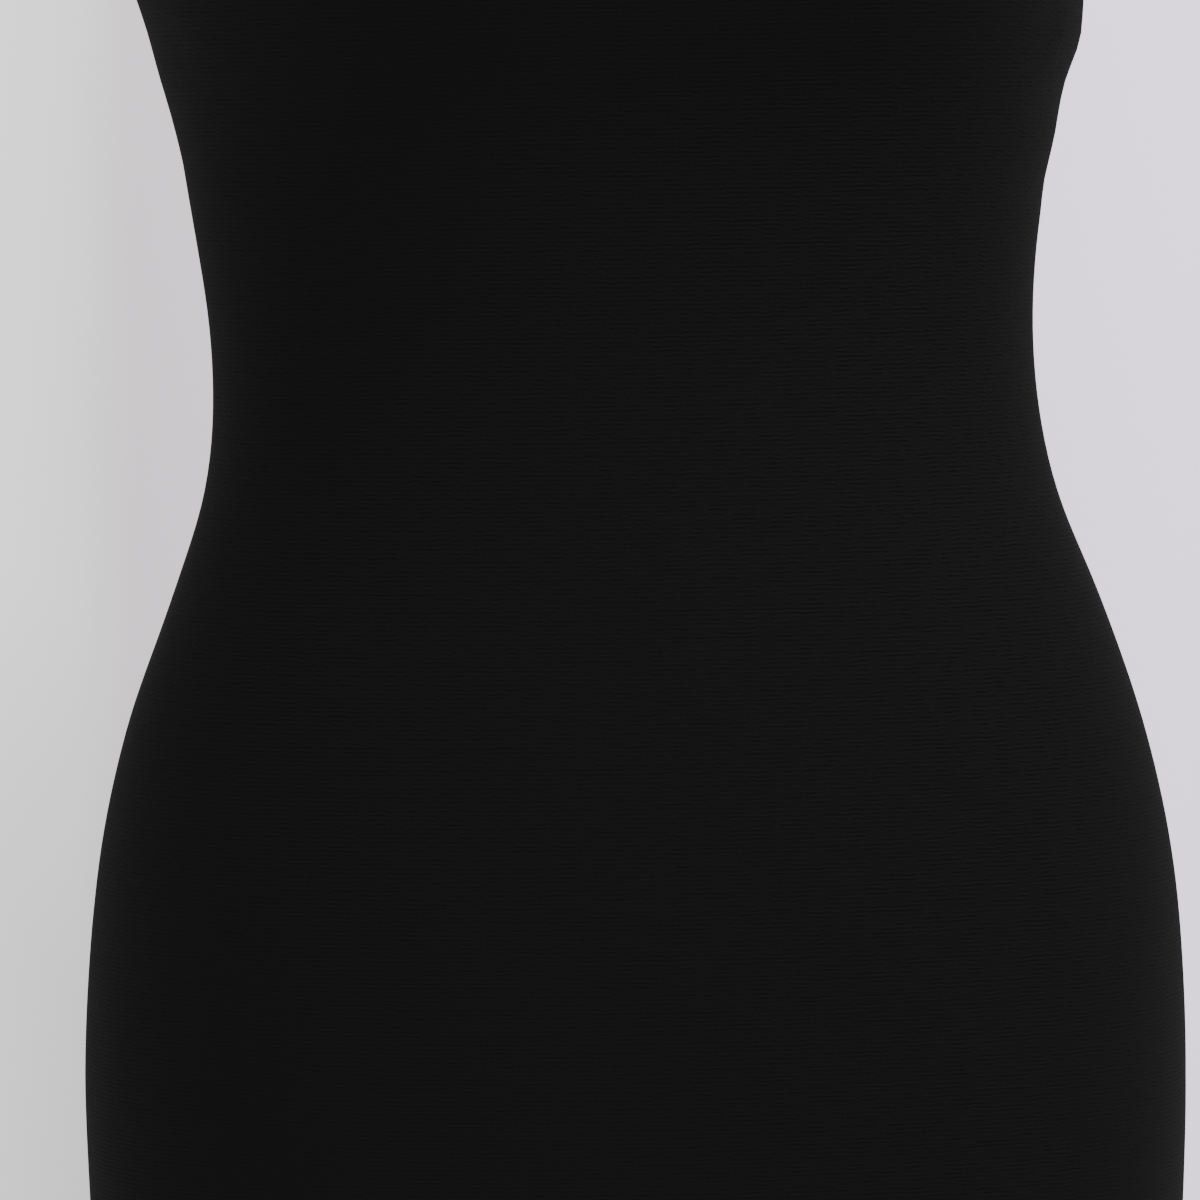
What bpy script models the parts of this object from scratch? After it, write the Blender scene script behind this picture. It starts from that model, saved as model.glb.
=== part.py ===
"""Sleeveless bodycon dress in stretch rib knit, hollow, as it stands when worn.

Metres, +Z up, the front faces -Y. The origin is midway between the shoulders, at the height of the strap's neck
end, where the wearer holds the dress up. Each panel is one closed wall, laid out in two numbers: turn, the angle
round the section in degrees, from 0 at the side seam to 90 at the centre, and height, which above the underarm
counts the rise over the shoulder and not the level.
"""

import math
from collections import namedtuple

import bmesh
import bpy
from mathutils import Vector

MM = 0.001

# Cloth and seams
WALL = 1.4 * MM
SEAM_GAP = 0.3 * MM

# Levels, from the shoulder down
UNDERARM = -215 * MM
HEM = -940 * MM
FLAT_ROW = -262 * MM  # the highest course that still runs level round the body

# Shoulders and straps
SHOULDER_SLOPE = math.tan(math.radians(20))
NECK_POINT_OUT = 95 * MM  # the strap's inner end, which lies at height 0
RIDGE_ROUNDING = 50 * MM
SHOULDER_SPREAD = 35 * MM  # how much wider the section grows from underarm to shoulder
YOKE_LENGTH = 250 * MM  # height counted from underarm to shoulder ridge
STRAP_OUTER_TURN = 38.0
STRAP_INNER_TURN = 62.0
ARMHOLE_SCOOP = 3.0  # degrees that the armhole swings inwards of the strap's line
FRONT_NECK_DEPTH = 107 * MM
BACK_NECK_DEPTH = 55 * MM
FRONT_ROUNDING = 1.80  # power of the curve from chest to shoulder ridge: 1 is straight, 2 is an ellipse
BACK_ROUNDING = 2.00

# Bust, as fullness knitted into the front
BUST_LEVEL = -242 * MM
BUST_FULLNESS = 30 * MM
BUST_BRIDGE = 0.68  # how far the cloth sinks between the two sides: 0.33 is flat, 1 is the whole fullness
BUST_REACH_UP = 85 * MM
BUST_REACH_DOWN = 62 * MM

# Layout of the quads, in columns from side seam to centre and rows upwards
ARMHOLE_COLUMNS = 5
STRAP_COLUMNS = 4
NECK_COLUMNS = 7
HALF_COLUMNS = ARMHOLE_COLUMNS + STRAP_COLUMNS + NECK_COLUMNS
BODY_ROWS = 34
CHEST_ROWS = 5
YOKE_ROWS = 4
STRAP_ROWS = 7
ARMHOLE_TURNS_AT = 0.47  # shares of the armhole and neckline where they turn from level to upright
ARMHOLE_CROSSES_AT = 0.72
NECKLINE_TURNS_AT = 0.54
CHEST_ROW_BELOW_NECK = 66 * MM
CENTRE_TURN = 90.0  # the centre of a panel, in degrees from its side seam
SAME_POINT = 0.001 * MM  # corners of neighbouring patches nearer than this are one
CREASE = 50  # degrees between two quads, past which the edge is drawn sharp

# Sections through the body, from the hem up, in millimetres. shift is how far the section's middle lies to +X,
# side_line is the side seam's y, front and back are depths from that seam, and a fullness of 0 makes that half of
# the section an ellipse and more makes it squarer.
Section = namedtuple("Section", "height half_width shift side_line front back front_fullness back_fullness")
SECTIONS = [
    Section(-940.0, 148.0, 5.0, 0.0, 89.0, 83.0, 0.20, 0.14),
    Section(-850.0, 153.0, 6.0, 1.0, 93.0, 89.0, 0.18, 0.12),
    Section(-760.0, 159.3, 6.7, 4.0, 102.0, 98.0, 0.15, 0.10),
    Section(-700.0, 163.7, 7.0, 6.0, 108.0, 109.0, 0.13, 0.08),
    Section(-654.0, 166.6, 7.0, 8.0, 113.0, 118.0, 0.12, 0.07),
    Section(-617.0, 168.0, 7.0, 8.0, 115.0, 122.0, 0.11, 0.06),
    Section(-580.0, 166.9, 7.0, 8.0, 116.0, 119.0, 0.10, 0.06),
    Section(-544.0, 163.1, 7.0, 6.0, 113.0, 113.0, 0.09, 0.06),
    Section(-507.0, 154.7, 7.0, 4.0, 108.0, 102.0, 0.08, 0.06),
    Section(-470.0, 142.0, 7.0, 1.0, 100.0, 91.0, 0.07, 0.06),
    Section(-434.0, 129.4, 5.2, -1.0, 93.0, 81.0, 0.06, 0.06),
    Section(-397.0, 125.3, 2.9, -2.0, 89.0, 78.0, 0.06, 0.06),
    Section(-360.0, 128.2, 0.9, -1.0, 91.0, 80.0, 0.07, 0.07),
    Section(-323.0, 134.9, 0.3, -1.0, 93.0, 87.0, 0.09, 0.09),
    Section(-287.0, 144.7, -1.0, 0.0, 97.0, 92.0, 0.11, 0.11),
    Section(-242.0, 151.0, -0.8, 0.0, 98.0, 97.0, 0.12, 0.12),
    Section(-215.0, 150.5, -0.5, 0.0, 97.0, 98.0, 0.12, 0.12),
]

# What differs between the two panels. toward is the way that the panel faces along Y.
Face = namedtuple("Face", "name toward depth fullness rounding neck_depth bust")
FRONT = Face("front_panel", -1, "front", "front_fullness", FRONT_ROUNDING, FRONT_NECK_DEPTH, BUST_FULLNESS)
BACK = Face("back_panel", 1, "back", "back_fullness", BACK_ROUNDING, BACK_NECK_DEPTH, 0.0)

# Four edges that meet, each a curve of share 0 to 1, and the quads laid between them
Patch = namedtuple("Patch", "bottom top left right columns rows")


def clear_scene():
    for thing in list(bpy.data.objects):
        bpy.data.objects.remove(thing, do_unlink=True)


def mix(start, end, share):
    return start * (1 - share) + end * share


def slope(row, column):
    """How fast a column of the table changes with height at one of its rows. It is level at the underarm."""
    if row == len(SECTIONS) - 1:
        return 0.0
    below, above = SECTIONS[max(row - 1, 0)], SECTIONS[row + 1]
    return (above[column] - below[column]) / (above.height - below.height)


def section_at(height):
    """The section at any height, in metres, on a smooth curve through the table's rows."""
    level = height / MM
    row = 0
    while row < len(SECTIONS) - 2 and SECTIONS[row + 1].height < level:
        row += 1
    below, above = SECTIONS[row], SECTIONS[row + 1]
    span = above.height - below.height
    t = (level - below.height) / span
    values = []
    for column in range(len(below)):
        value = (1 + 2 * t) * (1 - t) ** 2 * below[column]
        value += t * (1 - t) ** 2 * span * slope(row, column)
        value += t * t * (3 - 2 * t) * above[column]
        value -= t * t * (1 - t) * span * slope(row + 1, column)
        values.append(value)
    return Section(*values)


def round_the_section(turn, fullness):
    """Shares of the half width and of the depth at a turn."""
    across, out = math.cos(math.radians(turn)), math.sin(math.radians(turn))
    return across * (1 + fullness * out * out), out * (1 + fullness * across * across)


def ridge_height(x):
    """The shoulder ridge, which slopes down outwards and is rounded over the neck."""
    return SHOULDER_SLOPE * (math.hypot(NECK_POINT_OUT, RIDGE_ROUNDING) - math.hypot(x, RIDGE_ROUNDING))


def rise_of(height):
    """Quarter turn from underarm to shoulder ridge, in radians, for a height above the underarm."""
    return math.radians(90) * (height - UNDERARM) / YOKE_LENGTH


def bust(face, turn, z):
    """How far the bust's fullness stands out: nothing at the side seams, most on each side, less between them."""
    out = math.sin(math.radians(turn)) ** 2
    most = 2 / 3 / math.sqrt(3 * BUST_BRIDGE)
    reach = BUST_REACH_UP if z > BUST_LEVEL else BUST_REACH_DOWN
    return face.bust * out * (1 - BUST_BRIDGE * out * out) / most * math.exp(-(((z - BUST_LEVEL) / reach) ** 2))


def on_body(face, turn, height):
    """A point of the panel's outer side, where turn runs from 0 at the +X seam to 180 at the -X seam."""
    section = section_at(min(height, UNDERARM))
    across, out = round_the_section(turn, getattr(section, face.fullness))
    half_width, reach, z = section.half_width, 1.0, height
    if height > UNDERARM:
        power = 2 / face.rounding
        level = math.sin(rise_of(height)) ** power
        reach = max(math.cos(rise_of(height)), 0.0) ** power
        half_width += SHOULDER_SPREAD / MM * level**2
    x = (section.shift + half_width * across) * MM
    if height > UNDERARM:
        z = mix(UNDERARM, ridge_height(x), level)
    depth = getattr(section, face.depth) * MM * out * reach + bust(face, turn, z)
    y = section.side_line * MM + face.toward * (depth + SEAM_GAP / 2)
    return Vector((x, y, z))


def armhole(share):
    """(turn, height) along the armhole, from the side seam up to the strap's outer end."""
    swing = math.radians(90 * share)
    turn = STRAP_OUTER_TURN * math.sin(swing) + ARMHOLE_SCOOP * math.sin(2 * swing)
    return Vector((turn, UNDERARM + YOKE_LENGTH * (1 - math.cos(swing))))


def neckline(face, share):
    """(turn, height) along the neckline, from the centre up to the strap's inner end."""
    level = (-face.neck_depth - UNDERARM) / (ridge_height(0) - UNDERARM)
    lowest = YOKE_LENGTH * math.asin(level ** (face.rounding / 2)) / math.radians(90)
    swing = math.radians(90 * share)
    turn = CENTRE_TURN - (CENTRE_TURN - STRAP_INNER_TURN) * math.sin(swing)
    return Vector((turn, UNDERARM + mix(lowest, YOKE_LENGTH, 1 - math.cos(swing))))


def between(start, end):
    """The straight line from one (turn, height) to another, as a curve of share 0 to 1."""
    return lambda share: mix(start, end, share)


def stretch(curve, start, end):
    """The part of a curve between two of its shares, as a curve of its own."""
    return lambda share: curve(mix(start, end, share))


def on_flat_row(columns_from_side):
    """Where a column of quads crosses the highest level course."""
    return Vector((CENTRE_TURN / HALF_COLUMNS * columns_from_side, FLAT_ROW))


def patches(face):
    """The seven patches of a half panel, from hem to shoulder."""

    def neck(share):
        return neckline(face, share)

    # Points that the patches share
    hem_side, hem_centre = Vector((0, HEM)), Vector((CENTRE_TURN, HEM))
    side, under_armhole = on_flat_row(0), on_flat_row(ARMHOLE_COLUMNS)
    under_strap, centre = on_flat_row(ARMHOLE_COLUMNS + STRAP_COLUMNS), on_flat_row(HALF_COLUMNS)
    armhole_turns, armhole_crosses = armhole(ARMHOLE_TURNS_AT), armhole(ARMHOLE_CROSSES_AT)
    neck_turns, neck_centre = neck(NECKLINE_TURNS_AT), neck(0)

    # Courses and columns that the patches share
    flat_row = between(side, centre)
    chest_row = between(armhole_turns, Vector((CENTRE_TURN, neck_centre.y - CHEST_ROW_BELOW_NECK)))
    strap_share = STRAP_COLUMNS / (STRAP_COLUMNS + NECK_COLUMNS)
    strap_row, neck_row = stretch(chest_row, 0, strap_share), stretch(chest_row, strap_share, 1)
    strap_base = between(armhole_crosses, neck_turns)
    armhole_column = between(under_armhole, armhole_turns)
    strap_column = between(under_strap, strap_row(1))
    inner_column = between(strap_row(1), neck_turns)
    scoop, scoop_side = stretch(armhole, 0, ARMHOLE_TURNS_AT), stretch(armhole, ARMHOLE_TURNS_AT, ARMHOLE_CROSSES_AT)

    body_edges = (between(hem_side, hem_centre), flat_row, between(hem_side, side), between(hem_centre, centre))
    armhole_edges = (between(side, under_armhole), scoop, between(side, armhole(0)), armhole_column)
    strap_edges = (between(under_armhole, under_strap), strap_row, armhole_column, strap_column)
    chest_edges = (between(under_strap, centre), neck_row, strap_column, between(centre, neck_row(1)))
    root_edges = (strap_row, strap_base, scoop_side, inner_column)
    neck_edges = (neck_row, stretch(neck, NECKLINE_TURNS_AT, 0), inner_column, between(neck_row(1), neck_centre))
    shoulder = between(armhole(1), neck(1))
    top_edges = (strap_base, shoulder, stretch(armhole, ARMHOLE_CROSSES_AT, 1), stretch(neck, NECKLINE_TURNS_AT, 1))
    return [
        Patch(*body_edges, HALF_COLUMNS, BODY_ROWS),
        Patch(*armhole_edges, ARMHOLE_COLUMNS, CHEST_ROWS),
        Patch(*strap_edges, STRAP_COLUMNS, CHEST_ROWS),
        Patch(*chest_edges, NECK_COLUMNS, CHEST_ROWS),
        Patch(*root_edges, STRAP_COLUMNS, YOKE_ROWS),
        Patch(*neck_edges, NECK_COLUMNS, YOKE_ROWS),
        Patch(*top_edges, STRAP_COLUMNS, STRAP_ROWS),
    ]


def inside_edges(patch, across, up):
    """The point inside a patch's four edges, at a share across and a share up."""
    rows = mix(patch.bottom(across), patch.top(across), up)
    columns = mix(patch.left(up), patch.right(up), across)
    low = mix(patch.bottom(0), patch.bottom(1), across)
    high = mix(patch.top(0), patch.top(1), across)
    return rows + columns - mix(low, high, up)


def add_patch(sheet, face, patch, mirrored):
    """Lays a grid of quads on the panel's outer side, between the patch's four edges."""
    grid = bmesh.ops.create_grid(sheet, x_segments=patch.columns, y_segments=patch.rows, size=0.5)
    for corner in grid["verts"]:
        turn, height = inside_edges(patch, corner.co.x + 0.5, corner.co.y + 0.5)
        corner.co = on_body(face, 2 * CENTRE_TURN - turn if mirrored else turn, height)


def seam_points(sheet):
    """Points of the open edge that lie on a side seam or a shoulder seam."""
    found = []
    for point in sheet.verts:
        if point.is_boundary and is_on_seam(point.co):
            found.append(point)
    return found


def is_on_seam(place):
    if place.z > UNDERARM:
        return abs(place.y) < SEAM_GAP
    line = section_at(place.z).side_line * MM
    return abs(place.y - line) < SEAM_GAP


def panel(face, material):
    """One cut panel: its outer side as a sheet of quads, given its wall inwards."""
    sheet = bmesh.new()
    for patch in patches(face):
        for mirrored in (False, True):
            add_patch(sheet, face, patch, mirrored)
    bmesh.ops.remove_doubles(sheet, verts=sheet.verts, dist=SAME_POINT)
    bmesh.ops.recalc_face_normals(sheet, faces=sheet.faces)
    hem_middle = min(sheet.faces, key=lambda quad: quad.calc_center_median().z)
    if hem_middle.normal.y * face.toward < 0:
        bmesh.ops.reverse_faces(sheet, faces=sheet.faces)
    outside = set(sheet.verts)
    seams = seam_points(sheet)
    bmesh.ops.solidify(sheet, geom=sheet.faces[:], thickness=WALL)
    for point in seams:
        for edge in point.link_edges:
            inner = edge.other_vert(point)
            if inner not in outside:
                inner.co.y = point.co.y
    mesh = bpy.data.meshes.new(face.name)
    sheet.to_mesh(mesh)
    sheet.free()
    mesh.shade_smooth()
    mesh.set_sharp_from_angle(angle=math.radians(CREASE))
    mesh.materials.append(material)
    thing = bpy.data.objects.new(face.name, mesh)
    bpy.context.scene.collection.objects.link(thing)
    return thing


def knit(name, colour):
    """Matt black rib knit."""
    material = bpy.data.materials.new(name)
    material.use_nodes = True
    shader = material.node_tree.nodes["Principled BSDF"]
    shader.inputs["Base Color"].default_value = (*colour, 1)
    shader.inputs["Roughness"].default_value = 0.85
    shader.inputs["Metallic"].default_value = 0.0
    return material


clear_scene()
panel(FRONT, knit("front_knit", (0.012, 0.012, 0.013)))
panel(BACK, knit("back_knit", (0.011, 0.011, 0.012)))
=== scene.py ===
# %% [markdown]
# # A bodycon dress in black ottoman knit
#
# The dress is a pull-on tube of dense stretch knit: a front and a back panel, joined at the sides and
# shoulders, with the neck, the armholes and the hem turned in and stitched down. It keeps its worn shape
# with no wearer in it, so it is hollow. A cloth simulation could pull a flat pattern over a body, but the
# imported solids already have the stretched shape, as two plain walls. This lesson turns those walls into
# cloth.

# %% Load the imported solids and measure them
import math
from collections import namedtuple

import bmesh
import bpy
import numpy as np
from mathutils import Matrix, Vector
from mathutils.bvhtree import BVHTree
from mathutils.kdtree import KDTree


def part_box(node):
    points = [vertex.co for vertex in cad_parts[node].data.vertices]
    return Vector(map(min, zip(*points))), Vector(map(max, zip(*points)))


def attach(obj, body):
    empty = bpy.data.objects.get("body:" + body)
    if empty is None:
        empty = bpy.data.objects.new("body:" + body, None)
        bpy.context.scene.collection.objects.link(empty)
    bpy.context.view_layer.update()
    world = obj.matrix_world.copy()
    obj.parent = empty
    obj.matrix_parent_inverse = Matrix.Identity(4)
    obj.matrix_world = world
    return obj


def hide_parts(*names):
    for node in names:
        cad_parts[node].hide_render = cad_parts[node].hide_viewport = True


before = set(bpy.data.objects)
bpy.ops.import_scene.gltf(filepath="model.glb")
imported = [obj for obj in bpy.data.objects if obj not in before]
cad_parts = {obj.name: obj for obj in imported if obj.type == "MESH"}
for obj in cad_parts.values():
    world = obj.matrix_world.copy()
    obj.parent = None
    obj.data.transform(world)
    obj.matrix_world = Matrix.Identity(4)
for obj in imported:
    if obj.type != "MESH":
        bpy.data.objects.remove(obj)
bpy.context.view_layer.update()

MM = 0.001
PANELS = {"front_panel": -1, "back_panel": 1}  # the way each panel faces along Y
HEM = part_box("front_panel")[0].z
print("hem, in mm:", round(HEM / MM))

# %% [markdown]
# ## Camera
#
# The dress is seen close up, from just above its own level and from so far away that it looks flat. A
# short lens near the cloth would bend the outline of the hips, so a long lens stands three metres back.
# Its length follows from how wide the view is at the dress: 367 mm.

# %% Camera
VIEW_WIDTH = 367.2 * MM
VIEW_CENTRE = Vector((-4.0, 0.0, -470.4)) * MM
VIEW_DISTANCE = 3.0
VIEW_HEIGHT = math.radians(3)


def new_object(name, data):
    """An object that holds a mesh, a lamp or a camera, put in the scene."""
    thing = bpy.data.objects.new(name, data)
    bpy.context.scene.collection.objects.link(thing)
    return thing


camera_data = bpy.data.cameras.new("camera")
camera_data.lens = camera_data.sensor_width * VIEW_DISTANCE / VIEW_WIDTH
camera = new_object("camera", camera_data)
bpy.context.scene.camera = camera
towards_camera = Vector((0, -math.cos(VIEW_HEIGHT), math.sin(VIEW_HEIGHT)))
camera.location = VIEW_CENTRE + towards_camera * VIEW_DISTANCE
camera.rotation_euler = (-towards_camera).to_track_quat("-Z", "Y").to_euler()
print("lens, in mm:", round(camera_data.lens))

# %% [markdown]
# ## Colours and nodes
#
# Colours are written as hex values, as a colour picker gives them, and Blender's sockets want linear
# light. One function turns one into the other. Another adds a shader node with its settings and links, so
# that each material below reads as a short list.


# %% Colour and node helpers
def colour(text):
    """The linear RGBA of an sRGB hex value."""
    parts = [int(text[i : i + 2], 16) / 255 for i in (1, 3, 5)]
    return (*[part / 12.92 if part <= 0.04045 else ((part + 0.055) / 1.055) ** 2.4 for part in parts], 1.0)


def add_node(tree, kind, settings=None, **inputs):
    """A node with its settings, and each input set to a value or linked to another node's output."""
    node = tree.nodes.new(kind)
    for name, value in (settings or {}).items():
        setattr(node, name, value)
    for name, value in inputs.items():
        key = int(name[1:]) if name[0] == "_" else name.replace("_", " ")
        if isinstance(value, bpy.types.NodeSocket):
            tree.links.new(value, node.inputs[key])
        else:
            node.inputs[key].default_value = value
    return node


def new_material(name):
    """An empty node material, with its output."""
    material = bpy.data.materials.new(name)
    material.use_nodes = True
    material.node_tree.nodes.clear()
    return material, material.node_tree, material.node_tree.nodes.new("ShaderNodeOutputMaterial")


print("mid grey #808080 in linear light:", round(colour("#808080")[0], 3))

# %% [markdown]
# ## Backdrop
#
# Behind the dress is a plain pale wall. Its light and shade are painted on: painted light makes it brighter
# to the right, a painted shadow of the dress darkens it just left of the dress, and painted shade darkens
# it towards the bottom and in the lower left corner. A modelled wall would need lamps of its own, and their
# light would spill over the black cloth and grey it. So the world plays the wall: the camera sees a ramp of
# pale greys, and the cloth gets an even and much weaker room light.

# %% Backdrop's colours from left to right, with painted light and a painted shadow of the dress
BACKDROP_WITH_PAINTED_LIGHT = [  # place from left to right, and the colour there
    (0.06, "#dbd9db"),
    # 0.12 and 0.16: painted shadow of the dress, darkening the wall towards the dress's left side
    (0.12, "#d0ced0"),
    (0.16, "#c2bbc0"),
    (0.5, "#d2cad2"),
    # 0.8 and 0.92: painted light, the wall lighter towards the key lamp's side
    (0.8, "#e6ddf0"),
    (0.92, "#ece3f5"),
]
RAMP_REACH = 0.07  # how far sideways a ray leans at either end of the ramp

world = bpy.data.worlds.new("studio")
bpy.context.scene.world = world
world.use_nodes = True
world.node_tree.nodes.clear()
room = world.node_tree
direction = add_node(room, "ShaderNodeTexCoord")
lean = add_node(room, "ShaderNodeSeparateXYZ", Vector=direction.outputs["Generated"])
sideways = add_node(
    room, "ShaderNodeMapRange", Value=lean.outputs["X"], From_Min=-RAMP_REACH, From_Max=RAMP_REACH
)
backdrop = add_node(room, "ShaderNodeValToRGB", Fac=sideways.outputs["Result"])
left_end, *between, right_end = BACKDROP_WITH_PAINTED_LIGHT
for element, (position, tone) in zip(backdrop.color_ramp.elements, (left_end, right_end)):
    element.position = position
    element.color = colour(tone)
for position, tone in between:
    backdrop.color_ramp.elements.new(position).color = colour(tone)
print("backdrop:", len(backdrop.color_ramp.elements), "shades")

# %% Backdrop's strength, with painted shade towards the bottom and in the lower left corner, and the room light
# painted shade: the backdrop is weaker at its foot than at its top
FOOT, TOP = -0.11, 0.009  # how far a ray leans upwards at the bottom and the top of the view
FOOT_STRENGTH, TOP_STRENGTH = 1.98, 2.26
# painted shade in the lower left corner of the backdrop
CORNER, CORNER_ENDS = -0.145, -0.107  # both leans together, in the dark corner and where it ends
CORNER_SHADE = 0.82
ROOM_LIGHT = 0.45

low_left = add_node(
    room, "ShaderNodeMath", {"operation": "ADD"}, _0=lean.outputs["X"], _1=lean.outputs["Z"]
)
corner = add_node(
    room, "ShaderNodeMapRange", Value=low_left.outputs[0], From_Min=CORNER, From_Max=CORNER_ENDS
)
corner.inputs["To Min"].default_value = CORNER_SHADE
upwards = add_node(room, "ShaderNodeMapRange", Value=lean.outputs["Z"], From_Min=FOOT, From_Max=TOP)
upwards.inputs["To Min"].default_value = FOOT_STRENGTH
upwards.inputs["To Max"].default_value = TOP_STRENGTH
strength = add_node(
    room, "ShaderNodeMath", {"operation": "MULTIPLY"}, _0=corner.outputs[0], _1=upwards.outputs[0]
)
seen = add_node(room, "ShaderNodeBackground", Color=backdrop.outputs[0], Strength=strength.outputs[0])
lit = add_node(room, "ShaderNodeBackground", Color=colour("#f3f2f2"), Strength=ROOM_LIGHT)
ray = add_node(room, "ShaderNodeLightPath")
both = add_node(
    room, "ShaderNodeMixShader", Fac=ray.outputs["Is Camera Ray"], _1=lit.outputs[0], _2=seen.outputs[0]
)
add_node(room, "ShaderNodeOutputWorld", Surface=both.outputs[0])
print("world:", len(room.nodes), "nodes, room light at a strength of", ROOM_LIGHT)

# %% [markdown]
# ## Lamps
#
# Black cloth shows its form by the light that slides along it. A big soft lamp stands high on the right
# and makes that the lighter side. A weak one on the left keeps the other side from going flat, and one
# behind draws a thin pale rim along both outlines. Points or a sun would cut hard shadows, so all three
# lamps are squares a metre wide or more.


# %% Lamps
def lamp(name, place, size, watts, tint):
    """A square soft lamp that faces the middle of the dress."""
    data = bpy.data.lights.new(name, "AREA")
    data.size = size
    data.energy = watts
    data.color = colour(tint)[:3]
    thing = new_object(name, data)
    thing.location = Vector(place)
    thing.rotation_euler = (Vector(place) - VIEW_CENTRE).to_track_quat("Z", "Y").to_euler()


lamp("key", (2.0, -1.4, 2.5), 1.2, 73, "#fbf8ff")
lamp("fill", (-2.0, -2.2, 0.6), 1.6, 13, "#fffcf8")
lamp("back", (0.0, 3.0, 1.0), 1.0, 40, "#f8faff")

# %% [markdown]
# ## Floor
#
# A pale painted floor lies where a wearer's feet would be. A square plane would show its edge against the
# backdrop, so the floor is a round plate whose paint fades out before its rim. From below it isn't drawn
# at all, so that the dress can be looked at from there too.

# %% Floor's plate
FLOOR_RADIUS = 4.0
HEM_ABOVE_FLOOR = 0.46


def new_mesh(name, shape):
    """The mesh of a bmesh."""
    mesh = bpy.data.meshes.new(name)
    shape.to_mesh(mesh)
    return mesh


floor_shape = bmesh.new()
bmesh.ops.create_circle(floor_shape, cap_ends=True, segments=96, radius=FLOOR_RADIUS)
bmesh.ops.translate(floor_shape, verts=floor_shape.verts, vec=(0, 0, HEM - HEM_ABOVE_FLOOR))
floor = new_object("floor", new_mesh("floor", floor_shape))
floor_shape.free()
print("floor:", round(HEM_ABOVE_FLOOR - HEM, 2), "m below the shoulders")

# %% Floor's paint, which lets the light through near the rim and from below
FADE_BEGINS, FADE_ENDS = 0.45 * FLOOR_RADIUS, 0.98 * FLOOR_RADIUS

floor_paint, tree, output = new_material("pale_floor_paint")
spot = add_node(tree, "ShaderNodeTexCoord")
from_middle = add_node(tree, "ShaderNodeVectorMath", {"operation": "LENGTH"}, _0=spot.outputs["Object"])
fade = add_node(
    tree,
    "ShaderNodeMapRange",
    {"interpolation_type": "SMOOTHSTEP"},
    Value=from_middle.outputs["Value"],
    From_Min=FADE_BEGINS,
    From_Max=FADE_ENDS,
)
side = add_node(tree, "ShaderNodeNewGeometry")
clear = add_node(
    tree,
    "ShaderNodeMath",
    {"operation": "MAXIMUM"},
    _0=fade.outputs["Result"],
    _1=side.outputs["Backfacing"],
)
paint = add_node(tree, "ShaderNodeBsdfPrincipled", Base_Color=colour("#ebebe9"), Roughness=0.8)
nothing = add_node(tree, "ShaderNodeBsdfTransparent")
fading = add_node(
    tree, "ShaderNodeMixShader", Fac=clear.outputs[0], _1=paint.outputs[0], _2=nothing.outputs[0]
)
tree.links.new(fading.outputs[0], output.inputs["Surface"])
floor.data.materials.append(floor_paint)
print("the paint fades out from", FADE_BEGINS, "to", FADE_ENDS, "m")

# %% [markdown]
# ## From walls to one sheet of cloth
#
# Each packed panel is a closed wall of loose triangles, and smoothing it as it is would round off its
# rims. The cloth needs only its outer side. A copy of each wall is merged, the outer side is found by
# walking from the hem over every edge that isn't sharp, and its triangles are joined back into quads. The
# two sides are then welded along the seams, so that the turned edges below run round the neck, armholes
# and hem unbroken.

# %% The outer side of a wall
SHARP = math.radians(45)
MERGE = 0.01 * MM
HEM_BAND = 20 * MM  # the walk starts at a face this near the hem


def outer_side(node):
    """The outer side of a packed wall, in quads."""
    wall = bmesh.new()
    wall.from_mesh(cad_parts[node].data)
    bmesh.ops.remove_doubles(wall, verts=wall.verts, dist=MERGE)
    low = [face for face in wall.faces if face.calc_center_median().z < HEM + HEM_BAND]
    first = max(low, key=lambda face: face.normal.y * PANELS[node])
    reached, waiting = {first}, [first]
    while waiting:
        face = waiting.pop()
        for edge in face.edges:
            for other in edge.link_faces:
                if other not in reached and face.normal.angle(other.normal) < SHARP:
                    reached.add(other)
                    waiting.append(other)
    bmesh.ops.delete(wall, geom=[face for face in wall.faces if face not in reached], context="FACES")
    bmesh.ops.join_triangles(
        wall,
        faces=wall.faces,
        angle_face_threshold=SHARP,
        angle_shape_threshold=math.radians(90),
        topology_influence=1.35,  # so that a pair that would leave odd triangles is not joined first
    )
    print(node, "has an outer side of", len(wall.faces), "faces")
    return wall


# %% Both sides, welded at the seams
WELD = 0.45 * MM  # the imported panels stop 0.3 mm apart at a seam

cloth = bmesh.new()
for panel_number, node in enumerate(PANELS):
    side = outer_side(node)
    for face in side.faces:
        face.material_index = panel_number
        face.smooth = True
    flat = new_mesh("side", side)
    side.free()
    cloth.from_mesh(flat)
    bpy.data.meshes.remove(flat)
open_edge = [point for point in cloth.verts if point.is_boundary]
bmesh.ops.remove_doubles(cloth, verts=open_edge, dist=WELD)
sizes = sorted({len(face.verts) for face in cloth.faces})
print("sheet:", len(cloth.faces), "faces with", sizes, "corners")
print("open edges:", sum(edge.is_boundary for edge in cloth.edges))

# %% [markdown]
# ## Smoothing
#
# Quads 20 mm wide would show as flats along the outline. Smooth shading alone would hide them inside it
# but not on it, so two rounds of subdivision bring the quads to 5 mm. Subdivision also draws a round form
# in a little, so the corners are first moved out by as much as it would draw them in.

# %% Subdivide
FINENESS = 2
FITTINGS = 2


def subdivided(shape):
    """The mesh of a bmesh after subdivision."""
    mesh = new_mesh("coarse", shape)
    thing = new_object("coarse", mesh)
    smoothing = thing.modifiers.new("smoothing", "SUBSURF")
    smoothing.levels = FINENESS
    smoothing.render_levels = FINENESS
    graph = bpy.context.evaluated_depsgraph_get()
    result = bpy.data.meshes.new_from_object(thing.evaluated_get(graph))
    bpy.data.objects.remove(thing)
    bpy.data.meshes.remove(mesh)
    return result


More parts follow.
